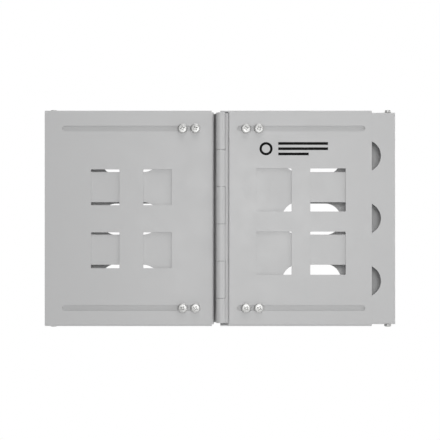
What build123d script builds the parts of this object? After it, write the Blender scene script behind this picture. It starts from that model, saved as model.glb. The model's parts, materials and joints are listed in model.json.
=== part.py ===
"""Hinged, telescoping fibre termination box in folded sheet steel.

Two shallow housings sit side by side, joined by a piano hinge. Each is a tray with a back shell, and a
sleeve that slides over the tray along X and is clamped by four screws in two long slots.
X runs across both halves, Y runs back to the wall plane at Y = 0 and Z runs up, all in millimetres.
Both halves are modelled to the right of the hinge axis at X = 0. The left one is mirrored, and every node
is moved so that the origin is the centre of the right half's wall bolts.
"""
from build123d import *
import os

# Sheet metal
SHEET = 1.2                 # thickness of every folded part
BEND = 2.0                  # outside radius of a fold
SEAM = 0.4                  # gap where two folded walls meet at a corner
SLIDE_GAP = 0.3             # sleeve to tray, all round
NEST_GAP = 0.1              # tray to the back shell inside it

# Overall sizes
BOX_DEPTH = 32.0
SLEEVE_HEIGHT = 177.0       # four rack units
SLEEVE_DEPTH = 28.0
BOLT_CENTRE = 75.0          # hinge axis to the centre of the wall bolts
BOLT_SPACING_X = 75.0
BOLT_SPACING_Z = 150.0
BOLT_HOLE_R = 2.75

# Positions across each half, as distances from the hinge axis
LEFT_SLEEVE_START = 5.8
LEFT_SLEEVE_END = 144.4
RIGHT_WALL_START = -0.4     # the right sleeve's hinge-side wall, behind the barrel
RIGHT_SLEEVE_START = 6.2
RIGHT_SLEEVE_END = 123.9
TRAY_START = 12.9
TRAY_END = 143.6

# Depths
FRONT = -BOX_DEPTH
SLEEVE_BACK = FRONT + SLEEVE_DEPTH
TRAY_FRONT = FRONT + SHEET + SLIDE_GAP
TRAY_INSIDE = TRAY_FRONT + SHEET
TRAY_BACK = -0.3
TRAY_HEIGHT = SLEEVE_HEIGHT - 2 * (SHEET + SLIDE_GAP)
SHELL_HEIGHT = TRAY_HEIGHT - 2 * (SHEET + NEST_GAP)
SHELL_FRONT = TRAY_INSIDE + BEND - SHEET     # clear of the tray's inside radius
FLOOR = -SHEET              # inside face of the back shell

# Cable ports: obrounds, given by the centres of their end arcs
PORT_R = 13.3
PORT_PITCH = 51.4
TRAY_PORT = (63.6, 118.3)
SHELL_PORT = (34.2, 88.9)
BAND_Z = PORT_PITCH / 2     # middle of the solid band between two ports

# Sleeve windows, as (start, end) ranges along X and Z
LEFT_WINDOWS_X = ((40.3, 63.6), (83.1, 106.5))
LEFT_WINDOWS_Z = ((-40.9, -11.5), (10.8, 40.2))
RIGHT_WINDOWS_X = ((29.1, 58.1), (73.4, 102.5))
RIGHT_WINDOWS_Z = ((-46.3, -10.9), (5.6, 41.0))
WINDOW_CORNER_R = 0.5

# Clamp slots and screws
SLOT_Z = 73.6
SLOT_WIDTH = 4.5
LEFT_SLOT = (18.5, 130.1)
RIGHT_SLOT = (13.4, 118.4)
CLAMP_X = (20.75, 31.35)
CLAMP_HEAD_GAP = 0.1
CLAMP_LENGTH = 8.0
NUT_R = 3.7
NUT_HEIGHT = 4.0
THREAD_CHAMFER = 0.4

# Small screws that hold each tray to its back shell
SIDE_X = 137.6
FLUSH_X = 20.0
SIDE_Y = FRONT + 4.8
SIDE_LENGTH = 6.0
NOTCH_MARGIN = 0.6

# Piano hinge
HINGE_Y = -33.4
PIN_R = 2.55
BORE_R = 2.6
BARREL_R = BORE_R + SHEET
BARREL_TOP = 86.4
BARREL_BOTTOM = -85.6
KNUCKLE_PITCH = 30.35
KNUCKLE_GAP = 0.3
LEAF_CLEAR = 0.5            # leaf edge to the other leaf's knuckles
RIGHT_LEAF_END = 5.8
LEFT_LEAF_BACK = -18.5
JOGGLE_DEPTH = 3.4
PIN_CHAMFER = 0.4

# Ledge behind the barrel, where the right leaf is welded to the right sleeve
LEDGE_GAP = 0.2             # left knuckles to the ledge
LEDGE_FRONT = HINGE_Y + BARREL_R + LEDGE_GAP
LEDGE_OUTER_R = 1.5         # outside radius of the step's folds
LEDGE_INNER_R = 0.3

# Fibre pass-throughs in the left sleeve's hinge-side wall
PASS_Y = (-16.5, -6.5)
PASS_Z = 42.0
PASS_HEIGHT = 44.0

# Adapters, caps and their bracket in the right half
ADAPTER_COUNT = 6
ADAPTER_PITCH = 24.0
ADAPTER_Y = -13.2
ADAPTER_LENGTH = 28.0
ADAPTER_BODY = (9.2, 12.8)  # Y, Z
ADAPTER_FLANGE = (2.0, 9.3, 22.2)
ADAPTER_HOLES = 17.9
ADAPTER_EDGE = 0.5          # chamfer along the body
FLANGE_CORNER_R = 1.5
MOUTH_WALLS = (1.8, 3.4)    # body less its mouth, along Y and Z
ADAPTER_WEB = 4.0           # solid middle between the two mouths
KEYWAY = (7.0, 3.0, 2.6)
HOLDER_R = 2.4
HOLDER_LENGTH = 4.0
FERRULE_R = 1.3
BRACKET_X = 31.0
BRACKET_FRONT = -22.5
BRACKET_HEIGHT = 146.0
BRACKET_FOOT = (14.0, 18.0)  # X, Z
BRACKET_RISE = 3.0          # free height under the bracket between its feet
CAP_PLATE = 2.5
CAP_PLATE_INSET = 0.6
CAP_CORNER_R = 1.2
CAP_PLUG = 5.0
CAP_FIT = 0.4
CAP_WALL = 1.2

# Splice cassette in the left half
CASSETTE_X = (17.0, 49.0)
CASSETTE_HEIGHT = 132.0
CASSETTE_DEPTH = 9.0
CASSETTE_WALL = 1.5
CASSETTE_CORNER_R = 5.0
CASSETTE_SCREW_Z = 17.8
GATE_WIDTH = 5.0            # fibre gates in the two short walls
GATE_INSET = 7.5
GATE_SILL = 2.0             # wall left above a gate
TAB = (5.0, 1.0, 10.0)      # finger tabs, X, Y, Z
COVER_SHEET = 1.0
COVER_LIP = (1.0, 0.8)      # width, depth
COVER_FIT = 0.2
COVER_NOTCH_R = 4.0
SPLICE_COUNT = 6
SPLICE_PITCH = 4.0
SPLICE_R = 1.25
SPLICE_LENGTH = 40.0
SPLICE_Z = 42.0
SPLICE_RISE = 2.8           # protector axis above the cassette's floor
SPLICE_END_R = 0.5
COMB_HEIGHT = 12.0
COMB_RISE = 5.0
COMB_ENDS = 1.6             # comb width beyond its grooves, both sides together
COMB_MOUTH = 2.0

# Cable tie bars on the solid bands of both back shells
TIE_BAR_X = (60.0, 116.0)
TIE_BAR_WIDTH = 12.0
TIE_BAR_SHEET = 1.5
TIE_BAR_RISE = 6.0
TIE_BAR_FOOT = 11.0
TIE_SLOT = (7.0, 2.5)
TIE_SLOT_PITCH = 8.0

# Earth stud in the right half
EARTH_X = 128.0
EARTH_LENGTH = 8.0
EARTH_COLLAR = 0.8
EARTH_COLLAR_R = 3.2
EARTH_WASHER = 0.8
EARTH_WASHER_R = 4.5
EARTH_NUT = (7.0, 3.2)      # across flats, height

M3_R = 1.5
M4_R = 2.0
THREAD_GAP = 0.05           # shank to the hole that it is screwed into
CLEAR_GAP = 0.2             # shank to a clearance hole
SCREW_SHY = 0.1             # screw tip short of the back of the plate
PAN_M2 = (1.0, 1.9, 1.3)    # shank radius, head radius, head height
PAN_M3 = (1.5, 2.8, 2.4)
PAN_M4 = (2.0, 4.0, 3.1)


def block(x, y, z):
    """A box from its (low, high) range along each axis."""
    centre = Pos(sum(x) / 2, sum(y) / 2, sum(z) / 2)
    return centre * Box(x[1] - x[0], y[1] - y[0], z[1] - z[0])


def through_wall(outline, y, reach=3.0):
    """The prism that an outline drawn in X and Z cuts through a wall at depth y."""
    return extrude(Plane.XZ.offset(-y) * outline, amount=reach, both=True)


def round_holes(places, radius):
    """An outline of equal circles at (X, Z) places."""
    return Sketch() + [Pos(x, z) * Circle(radius) for x, z in places]


def obround(x_range, z, radius):
    """A horizontal obround between two arc centres."""
    start, end = x_range
    return Pos((start + end) / 2, z) * SlotCenterToCenter(end - start, 2 * radius)


def rounded_window(x, z, radius):
    """A rectangle with eased corners, from its ranges along X and Z."""
    return Pos(sum(x) / 2, sum(z) / 2) * RectangleRounded(x[1] - x[0], z[1] - z[0], radius)


def ports(x_range):
    """The outline of the three cable ports, one above another."""
    return Sketch() + [obround(x_range, row * PORT_PITCH, PORT_R) for row in (-1, 0, 1)]


def up_and_down(x, z):
    """The same X at the height z above and below the middle."""
    return [(x, -z), (x, z)]


def front_folds(shape, end):
    """The front edges along the top and bottom, and the one at the folded end: -1 low X, 1 high X."""
    folds = shape.edges().filter_by(Axis.X).group_by(Axis.Y)[0]
    if end:
        upright = shape.edges().filter_by(Axis.Z).group_by(Axis.Y)[0].sort_by(Axis.X)
        folds += [upright[-1 if end > 0 else 0]]
    return folds


def folded_pan(x_range, front, back, height, end=0, closed=False):
    """Sheet folded back along its top and bottom edges, and along one end if end is -1 or 1.

    The corners at that end are notched, or closed with only a seam behind the folds.
    """
    low, high = x_range
    half = height / 2
    outer = block(x_range, (front, back), (-half, half))
    hollow_low = low + SHEET if end < 0 else low - SHEET
    hollow_high = high - SHEET if end > 0 else high + SHEET
    hollow = block((hollow_low, hollow_high), (front + SHEET, back + SHEET), (SHEET - half, half - SHEET))
    pan = fillet(front_folds(outer, end), BEND) - fillet(front_folds(hollow, end), BEND - SHEET)
    if end:
        corner = SHEET + SEAM
        corner_x = (low, low + corner) if end < 0 else (high - corner, high)
        cut_front = front + BEND if closed else front
        cut_top = half - SHEET if closed else half
        notch = block(corner_x, (cut_front, back), (half - corner, cut_top))
        pan -= notch + mirror(notch, Plane.XY)
    return pan


def pan_screw(size, length):
    """A cross-recessed pan head screw standing on its head's underside, with its head up."""
    shank_r, head_r, head_height = size
    rim_height = 0.18 * head_height
    shoulder = (0.78 * head_r, 0.78 * head_height)
    side = TangentArc((head_r, rim_height), shoulder, tangent=(0, 1))
    crown = TangentArc((0, head_height), shoulder, tangent=(1, 0))
    foot = Polyline((0, head_height), (0, 0), (head_r, 0), (head_r, rim_height))
    head = revolve(Plane.XZ * make_face(Curve() + [foot, side, crown]), Axis.Z)
    arm = (1.15 * head_r, 0.25 * head_r)
    cross = Rectangle(*arm) + Rectangle(*reversed(arm))
    recess = extrude(Pos(0, 0, head_height) * cross, amount=-0.45 * head_height)
    recess += Pos(0, 0, 0.75 * head_height) * Cone(0.1 * head_r, 0.34 * head_r, 0.5 * head_height)
    shank = Pos(0, 0, -length / 2) * Cylinder(shank_r, length)
    tip = shank.edges().filter_by(GeomType.CIRCLE).sort_by(Axis.Z)[0]
    return head - recess + chamfer(tip, 0.3 * shank_r)


def facing_front(piece, x, y, z):
    """A piece that stands up along Z, laid down to point at the front."""
    return Pos(x, y, z) * Rot(90, 0, 0) * piece


def tapped(size):
    """Radius of the hole that a screw is screwed into."""
    return size[0] + THREAD_GAP


def clearance(size):
    """Radius of the hole that a screw passes through."""
    return size[0] + CLEAR_GAP


def plate_screw(clamped):
    """An M3 screw that holds a thickness to the back shell and stops short of the shell's back."""
    return pan_screw(PAN_M3, clamped + SHEET - SCREW_SHY)


# ---------------------------------------------------------------- sleeves

def window_outline(columns, rows):
    """The outline of the sleeve's four windows."""
    return Sketch() + [rounded_window(x, z, WINDOW_CORNER_R) for x in columns for z in rows]


def slot_outline(slot):
    """The outline of the upper and lower clamp slots, given from end to end."""
    start, end = slot
    reach = (start + SLOT_WIDTH / 2, end - SLOT_WIDTH / 2)
    return Sketch() + [obround(reach, z, SLOT_WIDTH / 2) for z in (-SLOT_Z, SLOT_Z)]


def pass_throughs(wall):
    """The two openings for fibres through a hinge-side wall whose outer face is at wall."""
    openings = []
    for z in (-PASS_Z, PASS_Z):
        opening = block((wall - SHEET, wall + 2 * SHEET), PASS_Y, (z - PASS_HEIGHT / 2, z + PASS_HEIGHT / 2))
        openings.append(fillet(opening.edges().filter_by(Axis.X), 2 * WINDOW_CORNER_R))
    return openings


def make_left_sleeve():
    """Sleeve with a hinge-side wall, two fibre pass-throughs and notches round the side screws."""
    sleeve = folded_pan((LEFT_SLEEVE_START, LEFT_SLEEVE_END), FRONT, SLEEVE_BACK, SLEEVE_HEIGHT, end=-1)
    outline = window_outline(LEFT_WINDOWS_X, LEFT_WINDOWS_Z) + slot_outline(LEFT_SLOT)
    sleeve -= through_wall(outline, FRONT)
    sleeve -= pass_throughs(LEFT_SLEEVE_START)
    head_r = PAN_M3[1] + NOTCH_MARGIN
    notch_x = (SIDE_X - head_r, LEFT_SLEEVE_END)
    sleeve -= block(notch_x, (SIDE_Y - head_r, SIDE_Y + head_r), (-SLEEVE_HEIGHT, SLEEVE_HEIGHT))
    return sleeve


def stepped_end(half):
    """The right sleeve's hinge end: front, step back to the ledge behind the barrel, and side wall."""
    step = RIGHT_SLEEVE_START
    join = step + BEND
    wall = RIGHT_WALL_START
    ledge_back = LEDGE_FRONT + SHEET
    corners = [(join, FRONT), (step, FRONT), (step, LEDGE_FRONT), (wall, LEDGE_FRONT), (wall, SLEEVE_BACK)]
    corners += [(wall + SHEET, SLEEVE_BACK), (wall + SHEET, ledge_back), (step + SHEET, ledge_back)]
    corners += [(step + SHEET, FRONT + SHEET), (join, FRONT + SHEET)]
    end = upright_prism(make_face(Polyline(*corners, close=True)), (-half, half))
    folds = {1: LEDGE_OUTER_R, 2: LEDGE_INNER_R, 3: BEND, 6: BEND - SHEET, 7: LEDGE_OUTER_R, 8: LEDGE_INNER_R}
    for corner, radius in folds.items():
        place = Vector(*corners[corner], 0)
        end = fillet(end.edges().filter_by(Axis.Z).sort_by_distance(place)[0], radius)
    return end


def make_right_sleeve():
    """Sleeve whose hinge end steps back behind the barrel, between top and bottom walls that run past it."""
    sleeve = folded_pan((RIGHT_WALL_START, RIGHT_SLEEVE_END), FRONT, SLEEVE_BACK, SLEEVE_HEIGHT)
    half = SLEEVE_HEIGHT / 2
    flat = half - BEND
    sleeve -= block((RIGHT_WALL_START, RIGHT_SLEEVE_START), (FRONT, FRONT + BEND), (-half, half))
    sleeve -= block((RIGHT_SLEEVE_START, RIGHT_SLEEVE_START + BEND), (FRONT, FRONT + SHEET), (-flat, flat))
    sleeve += stepped_end(flat)
    sleeve -= pass_throughs(RIGHT_WALL_START)
    outline = window_outline(RIGHT_WINDOWS_X, RIGHT_WINDOWS_Z) + slot_outline(RIGHT_SLOT)
    return sleeve - through_wall(outline, FRONT)


# ------------------------------------------------------- trays and shells

def side_hole(x, radius):
    """A vertical cut through the top and bottom walls on the side screws' line."""
    return Pos(x, SIDE_Y, 0) * Cylinder(radius, SLEEVE_HEIGHT)


def countersink(radius_gap):
    """The cones of the two flush screws' heads, widened by radius_gap."""
    cone = Cone(M3_R + radius_gap, 2 * M3_R + radius_gap, SHEET)
    top = Pos(FLUSH_X, SIDE_Y, (TRAY_HEIGHT - SHEET) / 2) * cone
    return [top, mirror(top, Plane.XY)]


def make_tray():
    """Tray that opens to the hinge and to the back, with the ports in its front."""
    tray = folded_pan((TRAY_START, TRAY_END), TRAY_FRONT, TRAY_BACK, TRAY_HEIGHT, end=1, closed=True)
    screw_places = [place for x in CLAMP_X for place in up_and_down(x, SLOT_Z)]
    tray -= through_wall(ports(TRAY_PORT) + round_holes(screw_places, M4_R + CLEAR_GAP), TRAY_FRONT)
    tray -= side_hole(SIDE_X, clearance(PAN_M3))
    for cone in countersink(THREAD_GAP):
        tray -= cone
    return tray


def tie_bar_holes():
    """Places of the screws in both tie bars' feet."""
    inset = TIE_BAR_FOOT / 2
    return [place for x in (TIE_BAR_X[0] + inset, TIE_BAR_X[1] - inset) for place in up_and_down(x, BAND_Z)]


def make_back_shell(inner_holes):
    """Back plate with top and bottom walls inside the tray, its ports, wall bolt holes and tapped holes."""
    x_range = (TRAY_START, TRAY_END - SHEET - NEST_GAP)
    shell = mirror(folded_pan(x_range, 0, -SHELL_FRONT, SHELL_HEIGHT), Plane.XZ)
    bolt_places = []
    for x in (BOLT_CENTRE - BOLT_SPACING_X / 2, BOLT_CENTRE + BOLT_SPACING_X / 2):
        bolt_places += up_and_down(x, BOLT_SPACING_Z / 2)
    outline = ports(SHELL_PORT) + round_holes(bolt_places, BOLT_HOLE_R)
    outline += round_holes(inner_holes + tie_bar_holes(), tapped(PAN_M3))
    shell -= through_wall(outline, 0)
    for x in (SIDE_X, FLUSH_X):
        shell -= side_hole(x, tapped(PAN_M3))
    return shell


# --------------------------------------------------------------- fasteners

def make_clamp_screws():
    """Four M4 pan head screws through the sleeve's slots."""
    screw = pan_screw(PAN_M4, CLAMP_LENGTH)
    y = FRONT - CLAMP_HEAD_GAP
    return [facing_front(screw, x, y, z) for x in CLAMP_X for z in (-SLOT_Z, SLOT_Z)]


def make_clinch_nuts():
    """Four clinch nuts pressed on the inside of the tray's front."""
    nut = Cylinder(NUT_R, NUT_HEIGHT) - Cylinder(M4_R + THREAD_GAP, NUT_HEIGHT)
    rims = nut.edges().filter_by(GeomType.CIRCLE).group_by(Axis.Z)[0]
    nut = chamfer(rims.sort_by(SortBy.RADIUS)[-1], THREAD_CHAMFER)
    y = TRAY_INSIDE + NUT_HEIGHT / 2
    return [facing_front(nut, x, y, z) for x in CLAMP_X for z in (-SLOT_Z, SLOT_Z)]


def make_side_screws():
    """The M3 pan head screws in the tray's top and bottom walls, at its outer end."""
    top = Pos(SIDE_X, SIDE_Y, TRAY_HEIGHT / 2) * pan_screw(PAN_M3, SIDE_LENGTH)
    return [top, mirror(top, Plane.XY)]


def make_flush_screws():
    """The countersunk M3 screws that the sleeve slides over."""
    screws = []
    shank = Cylinder(M3_R, SIDE_LENGTH)
    shank_top = TRAY_HEIGHT / 2 - SHEET
    for cone, side in zip(countersink(0), (1, -1)):
        stem = Pos(FLUSH_X, SIDE_Y, side * (shank_top - SIDE_LENGTH / 2)) * shank
        arm = Box(3.4 * M3_R, 0.5 * M3_R, SHEET) + Box(0.5 * M3_R, 3.4 * M3_R, SHEET)
        recess = Pos(FLUSH_X, SIDE_Y, side * TRAY_HEIGHT / 2) * arm
        screws.append(cone + stem - recess)
    return screws


# ------------------------------------------------------------------- hinge

def knuckle_spans(first):
    """Height ranges of every second knuckle, counted down from the top."""
    spans = []
    top = BARREL_TOP
    index = 0
    while top > BARREL_BOTTOM:
        bottom = max(top - KNUCKLE_PITCH, BARREL_BOTTOM)
        low = bottom if bottom == BARREL_BOTTOM else bottom + KNUCKLE_GAP / 2
        high = top if index == 0 else top - KNUCKLE_GAP / 2
        if index % 2 == first:
            spans.append((low, high))
        top = bottom
        index += 1
    return spans


def upright_prism(outline, z_range):
    """An outline drawn in X and Y, run up over a height range."""
    return extrude(Pos(0, 0, z_range[0]) * outline, amount=z_range[1] - z_range[0])


def hinge_leaf(strip, root, first):
    """A leaf: its strip, which stops short of the other leaf's knuckles, and its own rolled knuckles."""
    leaf = upright_prism(strip, (BARREL_BOTTOM, BARREL_TOP))
    ring = Pos(0, HINGE_Y) * (Circle(BARREL_R) - Circle(BORE_R))
    bore = Pos(0, HINGE_Y) * Circle(BORE_R)
    for span in knuckle_spans(first):
        leaf += upright_prism(ring + (root - bore), span)
    return leaf


def make_right_leaf():
    """Narrow leaf on the right sleeve's ledge, running on from the back of the barrel."""
    edge = BARREL_R + LEAF_CLEAR
    strip = Pos((edge + RIGHT_LEAF_END) / 2, LEDGE_FRONT - SHEET / 2) * Rectangle(RIGHT_LEAF_END - edge, SHEET)
    roll = HINGE_Y + BARREL_R
    corners = [(0, roll), (0, roll - SHEET), (edge, LEDGE_FRONT - SHEET), (edge, LEDGE_FRONT)]
    return hinge_leaf(strip, make_face(Polyline(*corners, close=True)), first=1)


def make_left_leaf():
    """Leaf set back and welded to the left sleeve's hinge-side wall. It is drawn to the right."""
    near = (BORE_R, BARREL_R)
    far = (LEFT_SLEEVE_START - SHEET, LEFT_SLEEVE_START)
    bend_y = HINGE_Y + BARREL_R + LEAF_CLEAR
    set_y = bend_y + JOGGLE_DEPTH
    corners = [(near[0], bend_y), (near[1], bend_y), (far[1], set_y), (far[1], LEFT_LEAF_BACK)]
    corners += [(far[0], LEFT_LEAF_BACK), (far[0], set_y)]
    strip = make_face(Polyline(*corners, close=True))
    root = Pos(sum(near) / 2, (HINGE_Y + bend_y) / 2) * Rectangle(SHEET, bend_y - HINGE_Y)
    return hinge_leaf(strip, root, first=0)


def make_hinge_pin():
    """Plain pin just shorter than the barrel."""
    length = BARREL_TOP - BARREL_BOTTOM - KNUCKLE_GAP
    pin = Pos(0, HINGE_Y, (BARREL_TOP + BARREL_BOTTOM) / 2) * Cylinder(PIN_R, length)
    return chamfer(pin.edges().filter_by(GeomType.CIRCLE), PIN_CHAMFER)


# ---------------------------------------------------------------- adapters

def adapter_heights():
    """Centre height of each adapter, from the bottom up."""
    return [(index - (ADAPTER_COUNT - 1) / 2) * ADAPTER_PITCH for index in range(ADAPTER_COUNT)]


def adapter_screw_places():
    """(Y, Z) of the two screws in each adapter's flange."""
    half = ADAPTER_HOLES / 2
    return [(ADAPTER_Y, z + side * half) for z in adapter_heights() for side in (-1, 1)]


def bracket_feet():
    """(X, Z) of the screws in the bracket's two feet."""
    return up_and_down(BRACKET_X + SHEET + BRACKET_FOOT[0] / 2, BAND_Z)


def make_adapter_bracket():
    """Upright plate with a cut-out for each adapter, on two feet folded over the back shell."""
    half = BRACKET_HEIGHT / 2
    clear_back = FLOOR - BRACKET_RISE
    bracket = block((BRACKET_X, BRACKET_X + SHEET), (BRACKET_FRONT, clear_back), (-half, half))
    for x, z in bracket_feet():
        span = (z - BRACKET_FOOT[1] / 2, z + BRACKET_FOOT[1] / 2)
        bracket += block((BRACKET_X, BRACKET_X + SHEET), (clear_back, FLOOR), span)
        foot = block((BRACKET_X, BRACKET_X + SHEET + BRACKET_FOOT[0]), (FLOOR - SHEET, FLOOR), span)
        bracket += foot - facing_front(Cylinder(clearance(PAN_M3), 4 * SHEET), x, FLOOR, z)
    for z in adapter_heights():
        opening = Box(4 * SHEET, ADAPTER_BODY[0] + CLEAR_GAP, ADAPTER_BODY[1] + 2 * CLEAR_GAP)
        bracket -= Pos(BRACKET_X, ADAPTER_Y, z) * opening
    for y, z in adapter_screw_places():
        bracket -= Pos(BRACKET_X, y, z) * Rot(0, 90, 0) * Cylinder(tapped(PAN_M2), 4 * SHEET)
    return bracket


def make_adapter(z):
    """SC adapter: a square-bored body with a screwed flange and a split sleeve holder inside."""
    body_y, body_z = ADAPTER_BODY
    flange_x = ADAPTER_FLANGE[0]
    body = Box(ADAPTER_LENGTH, body_y, body_z)
    body = chamfer(body.edges().filter_by(Axis.X), ADAPTER_EDGE)
    flange = Box(*ADAPTER_FLANGE)
    flange = fillet(flange.edges().filter_by(Axis.X), FLANGE_CORNER_R)
    hole = Rot(0, 90, 0) * Cylinder(clearance(PAN_M2), 2 * flange_x)
    for side in (-1, 1):
        flange -= Pos(0, 0, side * ADAPTER_HOLES / 2) * hole
    adapter = body + flange
    depth = (ADAPTER_LENGTH - ADAPTER_WEB) / 2
    for side in (-1, 1):
        mouth = Box(depth, body_y - MOUTH_WALLS[0], body_z - MOUTH_WALLS[1])
        adapter -= Pos(side * (ADAPTER_WEB + depth) / 2, 0, 0) * mouth
        adapter -= Pos(side * (ADAPTER_LENGTH - KEYWAY[0]) / 2, -body_y / 2, 0) * Box(*KEYWAY)
        holder = Cylinder(HOLDER_R, HOLDER_LENGTH) - Cylinder(FERRULE_R, HOLDER_LENGTH)
        adapter += Pos(side * (ADAPTER_WEB + HOLDER_LENGTH) / 2, 0, 0) * Rot(0, 90, 0) * holder
    adapter -= Rot(0, 90, 0) * Cylinder(FERRULE_R, ADAPTER_LENGTH)
    centre_x = BRACKET_X - flange_x / 2
    return Pos(centre_x, ADAPTER_Y, z) * adapter


def make_adapter_cap(z, side):
    """Dust cap: a hollow plug in the adapter's mouth under a plain end plate, towards the given side."""
    body_y, body_z = ADAPTER_BODY
    plate = Box(CAP_PLATE, body_y - CAP_PLATE_INSET, body_z - CAP_PLATE_INSET)
    plate = fillet(plate.edges().filter_by(Axis.X), CAP_CORNER_R)
    plug_y = body_y - MOUTH_WALLS[0] - CAP_FIT
    plug_z = body_z - MOUTH_WALLS[1] - CAP_FIT
    plug = Box(CAP_PLUG, plug_y, plug_z)
    plug -= Pos(-side, 0, 0) * Box(CAP_PLUG, plug_y - 2 * CAP_WALL, plug_z - 2 * CAP_WALL)
    mouth = BRACKET_X - ADAPTER_FLANGE[0] / 2 + side * ADAPTER_LENGTH / 2
    cap = Pos(mouth + side * CAP_PLATE / 2, ADAPTER_Y, z) * plate
    return cap + Pos(mouth - side * CAP_PLUG / 2, ADAPTER_Y, z) * plug


def make_adapter_screws():
    """Two M2 screws in each adapter's flange, driven from the hinge side."""
    screw = Rot(0, -90, 0) * pan_screw(PAN_M2, 2 * ADAPTER_FLANGE[0])
    return [Pos(BRACKET_X - ADAPTER_FLANGE[0], y, z) * screw for y, z in adapter_screw_places()]


def make_bracket_screws():
    """The M3 screws in the adapter bracket's feet."""
    screw = plate_screw(SHEET)
    return [facing_front(screw, x, FLOOR - SHEET, z) for x, z in bracket_feet()]


# ---------------------------------------------------------------- splicing

def cassette_middle():
    """X of the cassette's long centre line."""
    return sum(CASSETTE_X) / 2


def cassette_block(inset, y_range):
    """An upright block with rounded corners, inset from the cassette's outline."""
    half = CASSETTE_HEIGHT / 2 - inset
    outer = block((CASSETTE_X[0] + inset, CASSETTE_X[1] - inset), y_range, (-half, half))
    return fillet(outer.edges().filter_by(Axis.Y), CASSETTE_CORNER_R - inset)


def make_splice_cassette():
    """Open moulded tray with a rim, fibre gates in its corners and finger tabs over the loops."""
    front = FLOOR - CASSETTE_DEPTH
    floor = FLOOR - CASSETTE_WALL
    hollow = cassette_block(CASSETTE_WALL, (front - CASSETTE_WALL, floor))
    cassette = cassette_block(0, (front, FLOOR)) - hollow
    reach = CASSETTE_HEIGHT / 2 + CASSETTE_WALL
    for x in (CASSETTE_X[0] + GATE_INSET, CASSETTE_X[1] - GATE_INSET):
        gate_x = (x - GATE_WIDTH / 2, x + GATE_WIDTH / 2)
        cassette -= block(gate_x, (front + GATE_SILL, floor), (-reach, reach))
    tab_x, tab_y, tab_z = TAB
    inset = CASSETTE_WALL + tab_x / 2
    tab_front = front + COVER_LIP[1] + COVER_FIT
    for z in (-CASSETTE_HEIGHT / 4, 0, CASSETTE_HEIGHT / 4):
        for x in (CASSETTE_X[0] + inset, CASSETTE_X[1] - inset):
            cassette += Pos(x, tab_front + tab_y / 2, z) * Box(tab_x, tab_y, tab_z)
    for x, z in up_and_down(cassette_middle(), CASSETTE_SCREW_Z):
        cassette -= facing_front(Cylinder(clearance(PAN_M3), 4 * CASSETTE_WALL), x, FLOOR, z)
    return cassette


def make_cassette_cover():
    """Clear lid that rests on the rim, with a locating lip inside it and a finger notch at each end."""
    front = FLOOR - CASSETTE_DEPTH
    lip_inset = CASSETTE_WALL + COVER_FIT
    lip_y = (front, front + COVER_LIP[1])
    lip = cassette_block(lip_inset, lip_y) - cassette_block(lip_inset + COVER_LIP[0], lip_y)
    cover = cassette_block(0, (front - COVER_SHEET, front)) + lip
    for z in (-CASSETTE_HEIGHT / 2, CASSETTE_HEIGHT / 2):
        cover -= facing_front(Cylinder(COVER_NOTCH_R, CASSETTE_DEPTH), cassette_middle(), front, z)
    return cover


def splice_lines():
    """X of each splice protector."""
    middle = cassette_middle()
    return [middle + (index - (SPLICE_COUNT - 1) / 2) * SPLICE_PITCH for index in range(SPLICE_COUNT)]


def splice_y():
    """Depth of the protectors' axes, above the cassette's floor."""
    return FLOOR - CASSETTE_WALL - SPLICE_RISE


def make_splice_comb(z):
    """Block with open grooves that the protectors press into."""
    width = SPLICE_COUNT * SPLICE_PITCH + COMB_ENDS
    middle = cassette_middle()
    back = FLOOR - CASSETTE_WALL
    front = back - COMB_RISE
    z_range = (z - COMB_HEIGHT / 2, z + COMB_HEIGHT / 2)
    comb = block((middle - width / 2, middle + width / 2), (front, back), z_range)
    for x in splice_lines():
        comb -= Pos(x, splice_y(), z) * Cylinder(SPLICE_R + THREAD_GAP, COMB_HEIGHT)
        comb -= block((x - COMB_MOUTH / 2, x + COMB_MOUTH / 2), (front, splice_y()), z_range)
    return comb


def make_splice_protectors():
    """Heat-shrink protectors, six in each comb."""
    tube = Cylinder(SPLICE_R, SPLICE_LENGTH)
    tube = fillet(tube.edges().filter_by(GeomType.CIRCLE), SPLICE_END_R)
    return [Pos(x, splice_y(), z) * tube for z in (-SPLICE_Z, SPLICE_Z) for x in splice_lines()]


def make_cassette_screws():
    """The M3 screws through the cassette's floor."""
    screw = plate_screw(CASSETTE_WALL)
    places = up_and_down(cassette_middle(), CASSETTE_SCREW_Z)
    return [facing_front(screw, x, FLOOR - CASSETTE_WALL, z) for x, z in places]


# ------------------------------------------------------- tie bars and earth

def make_tie_bar(z):
    """Strip bent up off the back shell on two feet, with slots for cable ties."""
    start, end = TIE_BAR_X
    low = FLOOR
    top = FLOOR - TIE_BAR_RISE
    ramp = TIE_BAR_RISE - TIE_BAR_SHEET
    feet_in = (start + TIE_BAR_FOOT, end - TIE_BAR_FOOT)
    upper = [(start, low), (feet_in[0], low), (feet_in[0] + ramp, top + TIE_BAR_SHEET)]
    upper += [(feet_in[1] - ramp, top + TIE_BAR_SHEET), (feet_in[1], low), (end, low)]
    lower = [(end, low - TIE_BAR_SHEET), (feet_in[1] - TIE_BAR_SHEET / 2, low - TIE_BAR_SHEET)]
    lower += [(feet_in[1] - ramp - TIE_BAR_SHEET / 2, top), (feet_in[0] + ramp + TIE_BAR_SHEET / 2, top)]
    lower += [(feet_in[0] + TIE_BAR_SHEET / 2, low - TIE_BAR_SHEET), (start, low - TIE_BAR_SHEET)]
    half = TIE_BAR_WIDTH / 2
    bar = upright_prism(make_face(Polyline(*upper, *lower, close=True)), (z - half, z + half))
    middle = (start + end) / 2
    slot = SlotOverall(*TIE_SLOT, rotation=90)
    slots = Sketch() + [Pos(middle + place * TIE_SLOT_PITCH, z) * slot for place in (-1, 0, 1)]
    bar -= through_wall(slots, top)
    inset = TIE_BAR_FOOT / 2
    holes = round_holes([(start + inset, z), (end - inset, z)], clearance(PAN_M3))
    return bar - through_wall(holes, low)


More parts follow.
